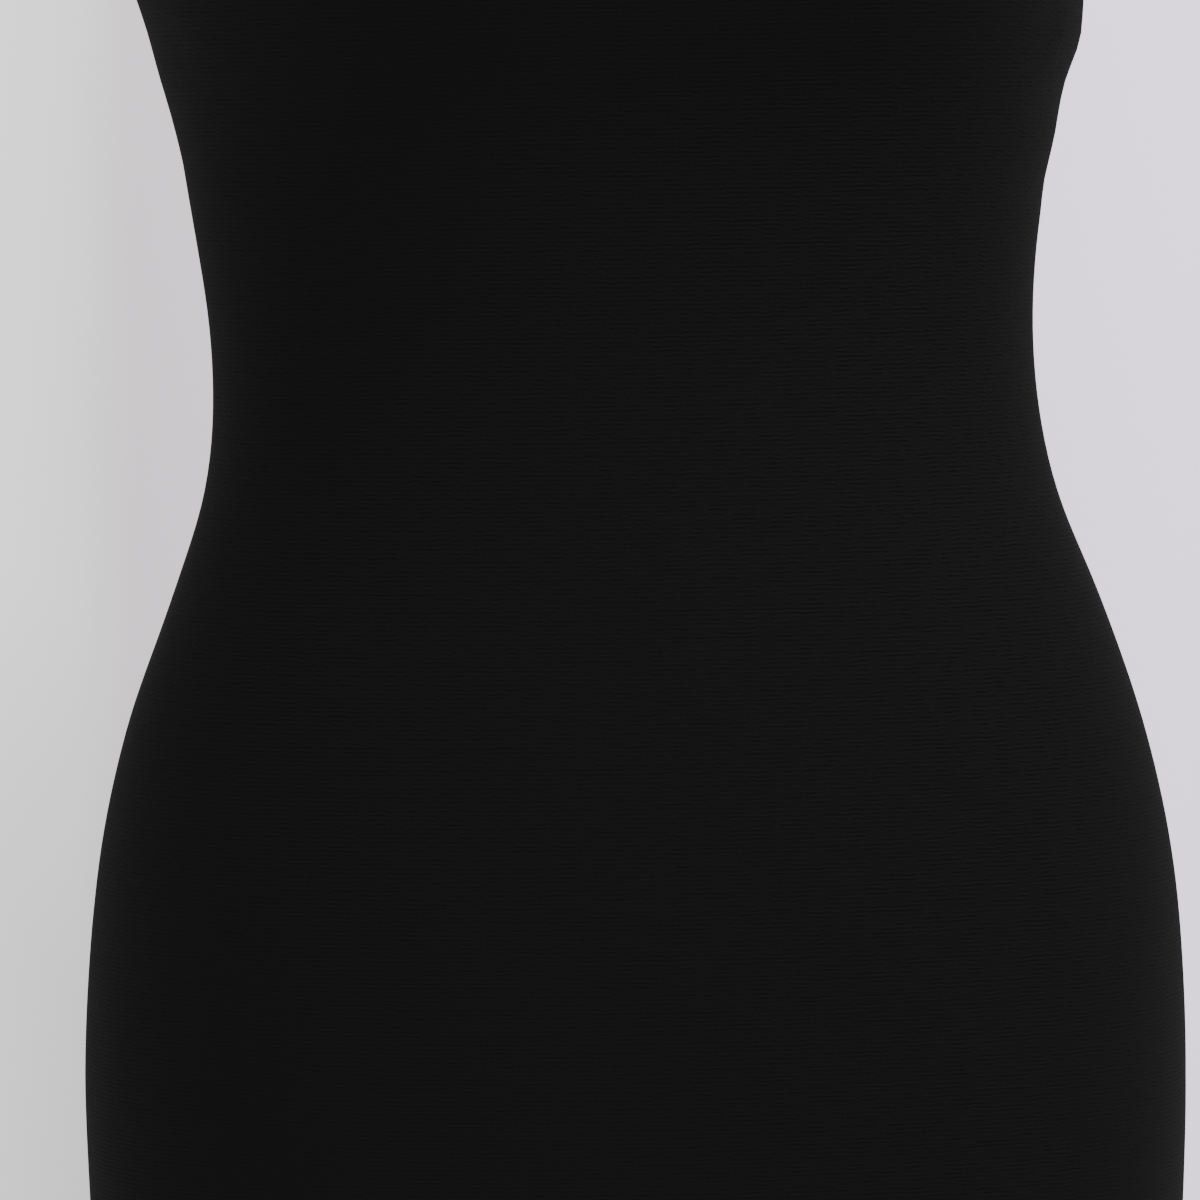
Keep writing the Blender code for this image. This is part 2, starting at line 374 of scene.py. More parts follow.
wanted = [point.co.copy() for point in cloth.verts]
for fitting in range(FITTINGS):
    fine = subdivided(cloth)
    missed = [place - corner.co for place, corner in zip(wanted, fine.vertices)]
    farthest = max(miss.length for miss in missed)
    print("smoothing draws the cloth in by up to", round(farthest / MM, 2), "mm")
    for point, miss in zip(cloth.verts, missed):
        point.co += miss
fine = subdivided(cloth)
cloth.clear()
cloth.from_mesh(fine)
bpy.data.meshes.remove(fine)
print("fine sheet:", len(cloth.faces), "faces")

# %% [markdown]
# ## Ease at the hips
#
# Thick knit doesn't cling to every curve. Over the hips and down to the hem it stands out sideways by a
# millimetre or two, a little more on one side, as the weight rests on one leg. A weight-painted modifier
# could do this, but a short table by level is easier to read and to change.

# %% Ease at the hips
EASE = [  # level, and how far the knit stands out at the left and at the right, in mm
    (-940, 1.2, 1.5),
    (-655, 1.2, 1.7),
    (-617, 1.2, 1.0),
    (-562, 0.6, 0.9),
    (-507, 0.5, 0.6),
    (-470, 0.1, 0.4),
    (-300, 0.0, 0.3),
    (-215, 0.0, 0.0),
]
ease_levels, ease_left, ease_right = np.array(EASE).T * MM

cloth.normal_update()
for point in cloth.verts:
    sideways = point.normal.x
    ease = np.interp(point.co.z, ease_levels, ease_right if sideways > 0 else ease_left)
    point.co.x += float(ease) * sideways
print("ease, in mm:", EASE[0][1:], "at the hem,", EASE[-1][1:], "under the arms")

# %% [markdown]
# ## Soft creases
#
# The cloth is stretched tight over the body, so it has hardly any folds: only shallow troughs where it
# turns from the narrow waist to the hips, under the bust and in the small of the back. Draping it in a
# simulation would put them anywhere. So each is listed, in millimetres, as a line seen from one side,
# with its own width and depth. Where the depth is below nought, it is a low ridge: the roll that a trough
# pushes up.

# %% Creases, listed one by one
Crease = namedtuple("Crease", "seen_from start end width depth")
CREASES = [
    Crease("right", (-44, -285), (22, -288), 5.0, 0.55),
    Crease("right", (-40, -297), (24, -301), 8.0, -1.05),
    Crease("right", (-38, -314), (28, -312), 7.0, 0.40),
    Crease("right", (-46, -331), (20, -327), 5.0, -0.30),
    Crease("right", (-52, -345), (16, -342), 5.0, 0.35),
    Crease("left", (-40, -280), (20, -278), 6.0, -0.75),
    Crease("left", (-44, -299), (26, -296), 11.0, 0.80),
    Crease("front", (94, -352), (128, -343), 5.0, 0.30),
    Crease("front", (88, -337), (124, -331), 5.0, 0.25),
    Crease("front", (-96, -388), (-38, -381), 8.0, 0.22),
    Crease("front", (-92, -412), (-52, -404), 9.0, 0.20),
    Crease("front", (52, -376), (93, -388), 8.0, 0.25),
    Crease("front", (66, -409), (98, -416), 8.0, 0.20),
    Crease("front", (-20, -362), (34, -366), 10.0, 0.18),
    Crease("front", (-108, -496), (-70, -474), 12.0, 0.22),
    Crease("front", (84, -472), (122, -500), 11.0, 0.25),
    Crease("front", (-60, -312), (-14, -318), 12.0, 0.35),
    Crease("front", (22, -316), (70, -309), 11.0, 0.30),
    Crease("front", (-112, -222), (-70, -236), 9.0, 0.60),
    Crease("front", (72, -235), (112, -220), 9.0, 0.55),
    Crease("back", (-70, -398), (18, -391), 8.0, 0.60),
    Crease("back", (-28, -420), (78, -414), 9.0, 0.70),
    Crease("back", (-82, -441), (40, -437), 10.0, 0.55),
    Crease("back", (-6, -366), (72, -372), 9.0, 0.45),
    Crease("back", (-96, -352), (-40, -361), 8.0, 0.35),
    Crease("back", (-104, -240), (-66, -212), 10.0, 0.60),
    Crease("back", (70, -208), (106, -238), 9.0, 0.55),
    Crease("left", (-30, -338), (30, -334), 6.0, 0.20),
]
lengths = [math.dist(crease.start, crease.end) for crease in CREASES]
print(len(CREASES), "creases,", round(min(lengths)), "to", round(max(lengths)), "mm long")

# %% Press the creases in
SEEN_FROM = {"front": (0, -1), "back": (0, 1), "right": (1, 0), "left": (-1, 0)}
FACING_LEAST = 0.15  # a point that faces a side less than this has none of that side's creases
CREASE_REACH = 3  # in widths of the crease


def distance_to_line(place, start, end):
    """How far a point lies from a line between two others, in its plane."""
    along = end - start
    share = min(max((place - start).dot(along) / along.length_squared, 0), 1)
    return (place - start - along * share).length


def crease_depth(point):
    """How deep the creases are at a point of the cloth, in mm."""
    depth = 0.0
    for crease in CREASES:
        view_x, view_y = SEEN_FROM[crease.seen_from]
        facing = point.normal.x * view_x + point.normal.y * view_y
        if facing < FACING_LEAST:
            continue
        place = Vector((point.co.x * abs(view_y) + point.co.y * abs(view_x), point.co.z)) / MM
        off = distance_to_line(place, Vector(crease.start), Vector(crease.end)) / crease.width
        if off < CREASE_REACH:
            depth += crease.depth * math.exp(-off * off) * min(facing * 2, 1)
    return depth


cloth.normal_update()
depths = {point: crease_depth(point) for point in cloth.verts}
moves = {point: point.normal * depth * MM for point, depth in depths.items() if depth}
for point, move in moves.items():
    point.co -= move
deepest = max(move.length for move in moves.values())
print("creased points:", len(moves), "deepest:", round(deepest / MM, 2), "mm")

# %% [markdown]
# ## Seams
#
# At the sides and shoulders the two panels are sewn right sides together. From outside that shows as a
# fine valley where the ribs of one panel meet those of the other. A dark line in the material would
# vanish on the outline, so the valley is real: the welded edge is bevelled into narrow strips and their
# middle is pushed in.

# %% Valleys along the seams
SEAM_HALF_WIDTH = 1.3 * MM
SEAM_STRIPS = 4
SEAM_DEPTH = 0.7 * MM
VALLEY_WIDTH = 0.55 * SEAM_HALF_WIDTH
VALLEY_REACH = 2 * SEAM_HALF_WIDTH
MARKS = 9  # places on each seam edge, ends and all, from which distances to the seam are taken


def joins_panels(edge):
    """Whether an edge lies between the front and the back panel."""
    return len(edge.link_faces) == 2 and len({face.material_index for face in edge.link_faces}) == 2


seam_edges = [edge for edge in cloth.edges if joins_panels(edge)]
seam_lines = [(edge.verts[0].co.copy(), edge.verts[1].co.copy()) for edge in seam_edges]
bmesh.ops.bevel(
    cloth,
    geom=seam_edges,
    offset=SEAM_HALF_WIDTH,
    offset_type="OFFSET",
    segments=SEAM_STRIPS,
    profile=0.5,
    affect="EDGES",
    material=-1,
)
cloth.normal_update()
seam_points = KDTree(len(seam_lines) * MARKS)
for number, (start, end) in enumerate(seam_lines):
    for mark in range(MARKS):
        seam_points.insert(start.lerp(end, mark / (MARKS - 1)), number * MARKS + mark)
seam_points.balance()
sunk = {}
for point in cloth.verts:
    distance = seam_points.find(point.co)[2]
    if distance < VALLEY_REACH:
        sunk[point] = point.normal * SEAM_DEPTH * math.exp(-((distance / VALLEY_WIDTH) ** 2))
for point, move in sunk.items():
    point.co -= move
print(len(seam_lines), "seam edges,", len(sunk), "valley points,", len(cloth.faces), "faces now")

# %% [markdown]
# ## Turned edges
#
# Hem, neck and armholes have no binding. The maker folds the edge to the inside, 22 mm at the hem and 9
# mm at the neck and armholes, and stitches it down. A thick rim alone would look like cut felt. So each
# open edge is extruded round a tight bend and then back along the inside, far enough in to leave room for
# two thicknesses of cloth. At each step the way back is found by walking over the sheet.

# %% The open edges, in order
Edge = namedtuple("Edge", "place normal off")
NECK_HALF_WIDTH = 50 * MM  # the armholes' middles lie further out than this


def open_loops(shape):
    """Each open edge of the sheet, as its corners in order."""
    loops, done = [], set()
    for first in [edge for edge in shape.edges if edge.is_boundary]:
        if first in done:
            continue
        loop, edge = [first.verts[0]], first
        while edge:
            done.add(edge)
            loop.append(edge.other_vert(loop[-1]))
            onward = (other for other in loop[-1].link_edges if other.is_boundary and other not in done)
            edge = next(onward, None)
        loops.append(loop[:-1])
    return loops


def name_of_loop(loop):
    """Which of the four openings a loop of corners runs round."""
    middle = sum((point.co for point in loop), Vector()) / len(loop)
    if middle.z < HEM / 2:
        return "hem"
    if abs(middle.x) < NECK_HALF_WIDTH:
        return "neck"
    return "armhole_right" if middle.x > 0 else "armhole_left"


def edge_line(loop):
    """For each corner of an open edge: its place, the cloth's normal and the way off the cloth."""
    line = []
    for number, point in enumerate(loop):
        along = (loop[(number + 1) % len(loop)].co - loop[number - 1].co).normalized()
        normal = point.normal.copy()
        beside = [face.calc_center_median() for face in point.link_faces]
        off = along.cross(normal).normalized()
        if off.dot(point.co - sum(beside, Vector()) / len(beside)) < 0:
            off.negate()
        line.append(Edge(point.co.copy(), normal, off))
    return line


cloth.normal_update()
surface = BVHTree.FromBMesh(cloth)
edge_lines = {}
edge_loops = {}
for loop in open_loops(cloth):
    name = name_of_loop(loop)
    edge_loops[name] = loop
    edge_lines[name] = edge_line(loop)
    length = sum((a.co - b.co).length for a, b in zip(loop, loop[1:] + loop[:1]))
    print(name, "edge:", len(loop), "corners,", round(length / MM), "mm round")

# %% A walk over the cloth
ALLOWANCE = {"hem": 22 * MM, "neck": 9 * MM, "armhole_right": 9 * MM, "armhole_left": 9 * MM}
ALLOWANCE_STEPS = 4


def walk(surface, place, heading, steps):
    """Places on the cloth, and its normals there, after each step of a walk across it."""
    met = []
    for step in steps:
        near, normal = surface.find_nearest(place + heading * step)[:2]
        heading = near - place
        heading = (heading - normal * heading.dot(normal)).normalized()
        place = near
        met.append((place, normal))
    return met


def folded_feet(name):
    """For each corner of an opening: where its turned edge lies against the cloth, step by step."""
    steps = [ALLOWANCE[name] / ALLOWANCE_STEPS] * ALLOWANCE_STEPS
    return [walk(surface, at.place, -at.off, steps) for at in edge_lines[name]]


print("the hem's raw edge is", round((folded_feet("hem")[0][-1][0].z - HEM) / MM, 1), "mm above its fold")


# %% Fold each edge to the inside
BEND_RADIUS = 1.2 * MM
BEND_STEPS = 5


def next_ring(shape, ring, places):
    """Extrudes a loop of corners to new places and gives the new corners in the same order."""
    edges = []
    for number, point in enumerate(ring):
        following = ring[(number + 1) % len(ring)]
        edges.append(next(edge for edge in point.link_edges if edge.other_vert(point) is following))
    beside = [edge.link_faces[0].material_index for edge in edges]
    made = bmesh.ops.extrude_edge_only(shape, edges=edges)["geom"]
    new_points = {item for item in made if isinstance(item, bmesh.types.BMVert)}
    fresh = []
    for point, place in zip(ring, places):
        twin = next(e.other_vert(point) for e in point.link_edges if e.other_vert(point) in new_points)
        twin.co = place
        fresh.append(twin)
    for edge, panel_number in zip(edges, beside):
        for face in edge.link_faces:
            if all(corner in new_points or corner in edge.verts for corner in face.verts):
                face.material_index = panel_number
                face.smooth = True
    return fresh


def round_the_bend(at, swing):
    """The place of an edge's corner after a swing round the bend, in radians."""
    return at.place + BEND_RADIUS * (at.normal * (math.cos(swing) - 1) + at.off * math.sin(swing))


for name, ring in edge_loops.items():
    for step in range(1, BEND_STEPS + 1):
        places = [round_the_bend(at, math.pi * step / BEND_STEPS) for at in edge_lines[name]]
        ring = next_ring(cloth, ring, places)
    for feet in zip(*folded_feet(name)):
        ring = next_ring(cloth, ring, [place - normal * 2 * BEND_RADIUS for place, normal in feet])
bmesh.ops.recalc_face_normals(cloth, faces=cloth.faces)
outermost = min(cloth.faces, key=lambda face: face.calc_center_median().y)
if outermost.normal.y > 0:
    bmesh.ops.reverse_faces(cloth, faces=cloth.faces)
print("cloth with its turned edges:", len(cloth.faces), "faces")

# %% [markdown]
# ## Courses
#
# The ribs are courses of knitting that run level round the body, about 1.3 mm apart. Object coordinates
# would do for the body, but they would slice the shoulders into ever wider bands. So each corner gets a
# place in the knitted fabric, as a UV map in metres: how far round it lies and how much knitting lies
# below it. Tight cloth over the bust opens the courses a little and the hips close them up. Over the
# shoulders the courses are counted along the cloth.

# %% Courses from the hem to the underarm
COURSE = 1.34 * MM
COURSE_WIDE = (-287 * MM, 1.39 * MM)  # level and spacing where the cloth is stretched lengthways
COURSE_CLOSE = (-654 * MM, 1.28 * MM)
COURSE_TILT = math.tan(math.radians(0.85))
KNIT_BEYOND = 50 * MM  # how far past the hem and the shoulders the count goes

levels = np.linspace(HEM - KNIT_BEYOND, KNIT_BEYOND, 2000)
spacing = np.interp(levels, (COURSE_CLOSE[0], COURSE_WIDE[0]), (COURSE_CLOSE[1], COURSE_WIDE[1]))
knitted = np.concatenate(([0.0], np.cumsum(COURSE / spacing[1:] * np.diff(levels))))
whole = float(np.ptp(np.interp((HEM, 0), levels, knitted)))
print("knitting from hem to shoulders, in mm:", round(whole / MM))

# %% Courses over the shoulders
YOKE = -215 * MM
YOKE_BLEND = 90 * MM
YOKE_HALF_WIDTH = 110 * MM
YOKE_MARKS = 111


def yoke_depth(x, toward):
    """How far forward or back the cloth stands at the underarm's level."""
    return surface.ray_cast(Vector((x, toward, YOKE)), Vector((0, -toward, 0)))[0].y


yoke_places = np.linspace(-YOKE_HALF_WIDTH, YOKE_HALF_WIDTH, YOKE_MARKS)
yoke_fronts = {
    toward: np.array([yoke_depth(x, toward) for x in yoke_places]) for toward in PANELS.values()
}
middles = [float(depths[YOKE_MARKS // 2]) for depths in yoke_fronts.values()]
print("front and back at the underarm's level, in mm:", [round(middle / MM) for middle in middles])

# %% Place of each point in the knitting
ROUND_PER_RADIAN = 0.14
BODY_FLATNESS = 1.5  # the body is about so much wider than it is deep
BACK_OFFSET = 1.0  # metres round from the front's middle to the back's, in the knitting's map
BACK_SLIP = 0.45 * COURSE  # the two panels' courses rarely meet at the seams


def place_in_knit(co, toward):
    """Metres round the panel and metres of knitting above its lowest course."""
    round_it = math.atan2(co.x, BODY_FLATNESS * abs(co.y) + 1e-6) * ROUND_PER_RADIAN
    height = float(np.interp(min(co.z, YOKE), levels, knitted)) - COURSE_TILT * co.x
    above = co.z - YOKE
    if above > 0:
        inwards = co.y - float(np.interp(co.x, yoke_places, yoke_fronts[toward]))
        height += math.hypot(above, inwards * min(above / YOKE_BLEND, 1) ** 2)
    if toward > 0:
        round_it += BACK_OFFSET
        height += BACK_SLIP
    return round_it, height


knit_map = cloth.loops.layers.uv.new("knit")
for face in cloth.faces:
    toward = list(PANELS.values())[face.material_index]
    for corner in face.loops:
        corner[knit_map].uv = place_in_knit(corner.vert.co, toward)
heights = [place_in_knit(Vector((0, -0.1, level)), -1)[1] for level in (HEM, YOKE)]
print("courses from hem to underarm:", round((heights[1] - heights[0]) / COURSE))

# %% [markdown]
# ## Black ottoman knit
#
# Dense viscose and elastane, knitted in fine crosswise ribs. To the eye it is nearly black and matt: the
# ribs show only as broken, barely lighter strokes, because the yarn's loops are uneven and the dye takes
# up the light. At the sides the loops' fuzz catches light and gives a soft pale edge. There are hundreds
# of ribs, so modelling them would take millions of faces. The material has a very dark base with painted
# shade darkening the furrows between the ribs, a rounded rib for bump, an unevenness that lets the ribs
# fade in and out, a fine grain of loops, and a little sheen.

# %% Strokes along the ribs, and the grain of loops
STROKE = (5 * MM, 2.5 * COURSE)  # how far along a rib, and across how many, a stroke reaches
STROKE_FADES, STROKE_FULL = 0.38, 0.64  # the part of the noise over which a stroke comes out
FAINTEST = 0.05
LOOP = (0.9 * MM, 0.7 * MM)  # one loop of yarn, along and across the ribs
LOOP_HEIGHT = 0.4  # as a share of a rib's


def broken_strokes(tree, knit):
    """How far the ribs stand out along their length, from hardly at all to fully."""
    place = add_node(tree, "ShaderNodeVectorMath", {"operation": "MULTIPLY"}, _0=knit)
    place.inputs[1].default_value = (1 / STROKE[0], 1 / STROKE[1], 1)
    uneven = add_node(
        tree, "ShaderNodeTexNoise", {"noise_dimensions": "2D"}, Vector=place.outputs[0], Scale=1, Detail=1.5
    )
    strokes = add_node(tree, "ShaderNodeMapRange", Value=uneven.outputs["Fac"])
    strokes.inputs["From Min"].default_value = STROKE_FADES
    strokes.inputs["From Max"].default_value = STROKE_FULL
    strokes.inputs["To Min"].default_value = FAINTEST
    return strokes.outputs["Result"]


def loop_grain(tree, knit):
    """The height of the yarn's loops."""
    place = add_node(tree, "ShaderNodeVectorMath", {"operation": "MULTIPLY"}, _0=knit)
    place.inputs[1].default_value = (1 / LOOP[0], 1 / LOOP[1], 1)
    loops = add_node(
        tree, "ShaderNodeTexNoise", {"noise_dimensions": "2D"}, Vector=place.outputs[0], Scale=1, Detail=1
    )
    grain = add_node(
        tree, "ShaderNodeMath", {"operation": "MULTIPLY"}, _0=loops.outputs["Fac"], _1=LOOP_HEIGHT
    )
    return grain.outputs[0]


print("strokes, in mm:", [round(reach / MM, 2) for reach in STROKE])

# %% [markdown]
# ## Stretch
#
# Stretched knit is flatter. Its ribs are pulled almost level in the middle of each panel and over the
# thighs, and a little flatter at the sides of the ribcage, while at the sides of the waist they keep
# their full height. Vertex weights could carry that, but the map of the knitting already says how far
# round and how high each point lies, so a few ranges of it are enough.

# %% Where the ribs lie flatter
TIGHTEST = -20 * MM  # how far from a panel's middle it is stretched most, to the left
MIDDLE, SIDE = 0.03, 0.15  # metres round from there, to the end of the tight middle and to the slack side
MIDDLE_RELIEF = 0.5
THIGHS, WAIST = 0.36, 0.58  # metres of knitting up to the flat ribs, and to the full ones
THIGH_RELIEF = 0.66
WAIST_SIDES, RIBCAGE = 0.56, 0.66  # and up to where the sides start to flatten, and where they are flatter
RIBCAGE_RELIEF = 0.8


def slackness(tree, knit):
    """The share of their height that the ribs keep, 1 in slack cloth."""
    place = add_node(tree, "ShaderNodeSeparateXYZ", Vector=knit)
    aside = add_node(tree, "ShaderNodeMath", {"operation": "ADD"}, _0=place.outputs["X"], _1=-TIGHTEST)
    from_either_middle = add_node(
        tree,
        "ShaderNodeMath",
        {"operation": "WRAP"},
        _0=aside.outputs[0],
        _1=BACK_OFFSET / 2,
        _2=-BACK_OFFSET / 2,
    )
    to_side = add_node(tree, "ShaderNodeMath", {"operation": "ABSOLUTE"}, _0=from_either_middle.outputs[0])
    sides = add_node(tree, "ShaderNodeMapRange", Value=place.outputs["Y"])
    sides.inputs["From Min"].default_value = WAIST_SIDES
    sides.inputs["From Max"].default_value = RIBCAGE
    sides.inputs["To Min"].default_value = 1.0
    sides.inputs["To Max"].default_value = RIBCAGE_RELIEF
    around = add_node(tree, "ShaderNodeMapRange", Value=to_side.outputs[0], From_Min=MIDDLE, From_Max=SIDE)
    around.inputs["To Min"].default_value = MIDDLE_RELIEF
    tree.links.new(sides.outputs["Result"], around.inputs["To Max"])
    up = add_node(tree, "ShaderNodeMapRange", Value=place.outputs["Y"], From_Min=THIGHS, From_Max=WAIST)
    up.inputs["To Min"].default_value = THIGH_RELIEF
    both_ways = add_node(
        tree, "ShaderNodeMath", {"operation": "MULTIPLY"}, _0=around.outputs[0], _1=up.outputs[0]
    )
    return both_ways.outputs[0]


print("share of their height that the flattest ribs keep:", round(MIDDLE_RELIEF * THIGH_RELIEF, 2))

# %% [markdown]
# ## Finish of the knit
#
# The ribs, their unevenness and the stretch meet in one height, and the same height mixes in painted
# shade: a darker black in the furrows between the ribs. The roughness is high and the gloss low, because
# loops scatter light every way. A trace of sheen stands for the fuzz.

# %% Knit material
RIB_HEIGHT = 0.36 * MM


def knit_material(name, rib_hex, painted_furrow_shade_hex):
    """Matt rib knit, in its own near-black on the ribs and a darker painted shade between them."""
    material, tree, output = new_material(name)
    knit = add_node(tree, "ShaderNodeUVMap", {"uv_map": "knit"}).outputs["UV"]
    ribs = add_node(
        tree,
        "ShaderNodeTexWave",
        {"wave_type": "BANDS", "bands_direction": "Y", "wave_profile": "SIN"},
        Vector=knit,
        Scale=math.pi / 10 / COURSE,  # at a scale of 1 the bands lie pi / 10 apart
        Distortion=2.2,
        Detail=1.0,
        Detail_Scale=0.8,
    )
    strokes = broken_strokes(tree, knit)
    slack = slackness(tree, knit)
    rise = add_node(tree, "ShaderNodeMath", {"operation": "MULTIPLY"}, _0=strokes, _1=slack)
    below_rib = add_node(tree, "ShaderNodeMath", {"operation": "SUBTRACT"}, _0=0.5, _1=ribs.outputs["Fac"])
    # the furrow's depth, which also mixes in the painted shade below
    furrow_and_painted_shade = add_node(
        tree,
        "ShaderNodeMath",
        {"operation": "MULTIPLY_ADD"},
        _0=below_rib.outputs[0],
        _1=rise.outputs[0],
        _2=0.5,
    )
    grain = loop_grain(tree, knit)
    height = add_node(tree, "ShaderNodeMath", {"operation": "SUBTRACT"}, _0=grain, _1=furrow_and_painted_shade.outputs[0])
    bump = add_node(tree, "ShaderNodeBump", Height=height.outputs[0], Distance=RIB_HEIGHT, Strength=1.0)
    # painted shade: the furrows are mixed towards the darker black
    tone = add_node(tree, "ShaderNodeMix", {"data_type": "RGBA"}, Factor=furrow_and_painted_shade.outputs[0])
    tone.inputs["A"].default_value = colour(rib_hex)
    tone.inputs["B"].default_value = colour(painted_furrow_shade_hex)
    shader = add_node(
        tree,
        "ShaderNodeBsdfPrincipled",
        Base_Color=tone.outputs["Result"],
        Normal=bump.outputs[0],
        Roughness=0.85,
        IOR=1.5,
        Specular_IOR_Level=0.10,
        Sheen_Weight=0.016,
        Sheen_Roughness=0.45,
    )
    tree.links.new(shader.outputs[0], output.inputs["Surface"])
    return material


# the first black is the knit's own, the second is painted shade for the furrows
ottoman_knit = knit_material("black_ottoman_knit", "#1e1e1f", "#141415")
print("knit material:", len(ottoman_knit.node_tree.nodes), "nodes")

# %% [markdown]
# ## The two panels of cloth
#
# Each panel is the part of the sheet between its seams, with its own turned edges. Its inside shows at
# the neck and the armholes, so it needs a thickness: 1 mm for this knit. Extruding the sheet would double
# its faces here and now, while a Solidify modifier keeps it one simple sheet and carries the map to the
# inside.

# %% The two panels of cloth
CLOTH_THICKNESS = 1.0 * MM


def dressed(name, mesh, material, node=None):
    """An object of the mesh that rides on the dress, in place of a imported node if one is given."""
    mesh.materials.append(material)
    thing = new_object(name, mesh)
    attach(thing, "root")
    if node:
        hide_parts(node)
    return thing


def thicken(thing, thickness):
    """Gives a sheet its thickness, inwards from its outer side."""
    wall = thing.modifiers.new("thickness", "SOLIDIFY")
    wall.thickness = thickness
    wall.offset = -1
    wall.use_even_offset = False


panels = {}
for panel_number, node in enumerate(PANELS):
    part = cloth.copy()
    others = [face for face in part.faces if face.material_index != panel_number]
    bmesh.ops.delete(part, geom=others, context="FACES")
    for face in part.faces:
        face.material_index = 0
    name = node.replace("panel", "cloth")
    mesh = new_mesh(name, part)
    part.free()
    panels[node] = dressed(name, mesh, ottoman_knit, node)
    thicken(panels[node], CLOTH_THICKNESS)
    print(name, "cloth area, in m2:", round(sum(face.area for face in mesh.polygons), 3))

# %% [markdown]
# ## Seam allowances
#
# Inside, the two raw edges of each seam are overlocked together and pressed towards the back. They are a
# double layer 7 mm wide that lies against the wrong side of the back panel, and they are seen only
# through the neck, the armholes and the hem. A ribbon bevelled along a curve would twist out of the
# cloth. So each strip is a grid whose rows are laid along the seam, each a few millimetres further over
# the cloth.


# %% Lines of points along the seams
def chains(lines):
    """Separate short lines, joined end to end, each chain as its points in order."""
    shape = bmesh.new()
    for start, end in lines:
        shape.edges.new((shape.verts.new(start), shape.verts.new(end)))
    bmesh.ops.remove_doubles(shape, verts=shape.verts, dist=MERGE)
    found = []
    ends = [point for point in shape.verts if len(point.link_edges) == 1]
    while ends:
        point = ends.pop()
        edge = point.link_edges[0]
        line = [point.co.copy()]
        while edge:
            point = edge.other_vert(point)
            line.append(point.co.copy())
            edge = next((other for other in point.link_edges if other is not edge), None)
        ends.remove(point)
        found.append(line)
    shape.free()
    return found


def spaced(points, pitch, closed=False):
    """Points at an even pitch along a line."""
    line = np.array([tuple(point) for point in points] + [tuple(points[0])] * closed)
    reach = np.concatenate(([0.0], np.cumsum(np.linalg.norm(np.diff(line, axis=0), axis=1))))
    count = round(reach[-1] / pitch)
    marks = np.arange(count + (not closed)) * reach[-1] / count
    places = np.column_stack([np.interp(marks, reach, column) for column in line.T])
    return [Vector(tuple(place)) for place in places]


def without_ends(points, first, last):
    """A line of points less those within a distance of either end."""
    reach = np.cumsum([0.0] + [(b - a).length for a, b in zip(points, points[1:])])
    return [point for point, at in zip(points, reach) if first <= at <= reach[-1] - last]


seams = chains(seam_lines)
print("seams:", len(seams), "with", [len(line) for line in seams], "points")

# %% Strips inside the seams
SEAM_ALLOWANCE = 7 * MM
STRIP_THICKNESS = 1.5 * MM
STRIP_PITCH = 4 * MM
STRIP_ROWS = 3
STRIP_START = 0.4 * MM  # from the seam to the strip's first row
STRIP_GAP = 0.8 * MM  # between the strip's ends and the turned edges
CLEARANCE = 0.1 * MM  # between the strip and the cloth it lies on


def strip_rows(line):
    """Rows of places inside the back panel, the first along the seam."""
    rows = [[] for row in range(STRIP_ROWS + 1)]
    steps = [STRIP_START] + [(SEAM_ALLOWANCE - STRIP_START) / STRIP_ROWS] * STRIP_ROWS
    for number, place in enumerate(line):
        along = (line[min(number + 1, len(line) - 1)] - line[max(number - 1, 0)]).normalized()
        back = Vector((0, 1, 0)) - along * along.y
        for row, (foot, normal) in enumerate(walk(surface, place, back.normalized(), steps)):
            rows[row].append(foot - normal * (CLOTH_THICKNESS + CLEARANCE))
    return rows


strips = bmesh.new()
strip_map = strips.loops.layers.uv.new("knit")
strip_lines = []
for line in seams:
    if line[0].z > line[-1].z:
        line.reverse()
    first_edge = "hem" if line[0].z < HEM / 2 else "neck"
    line = without_ends(
        spaced(line, STRIP_PITCH), ALLOWANCE[first_edge] + STRIP_GAP, ALLOWANCE["neck"] + STRIP_GAP
    )
    rows = strip_rows(line)
    grid = bmesh.ops.create_grid(strips, x_segments=len(line) - 1, y_segments=STRIP_ROWS, size=1.0)
    for number, point in enumerate(grid["verts"]):
        point.co = rows[number // len(line)][number % len(line)]
    strip_lines.append(rows)
    print("strip:", len(line), "places,", round((line[0] - line[-1]).length / MM), "mm from end to end")
for face in strips.faces:
    face.smooth = True
    if face.normal.dot(surface.find_nearest(face.calc_center_median())[1]) < 0:
        face.normal_flip()
    for corner in face.loops:
        corner[strip_map].uv = place_in_knit(corner.vert.co, 1)
strip_mesh = new_mesh("seam_allowances", strips)
strips.free()
allowances = dressed("seam_allowances", strip_mesh, ottoman_knit)
thicken(allowances, STRIP_THICKNESS)

# %% [markdown]
# ## Sewing thread
#
# Textured polyester thread, dyed black to match the knit. It is spun from two plies, so a slanting twist
# runs round it. It is a little smoother than the knit, so it shows as a fine row of slightly brighter
# beads. Object coordinates would slant the twist differently on each stitch, so every stitch carries its
# own coordinates.

# %% Thread material
PLY_TURN = 0.3 * MM
FIBRE = 0.12 * MM
FUZZ = 0.35  # the fuzz's height as a share of the twist's
TWIST_HEIGHT = 0.05 * MM

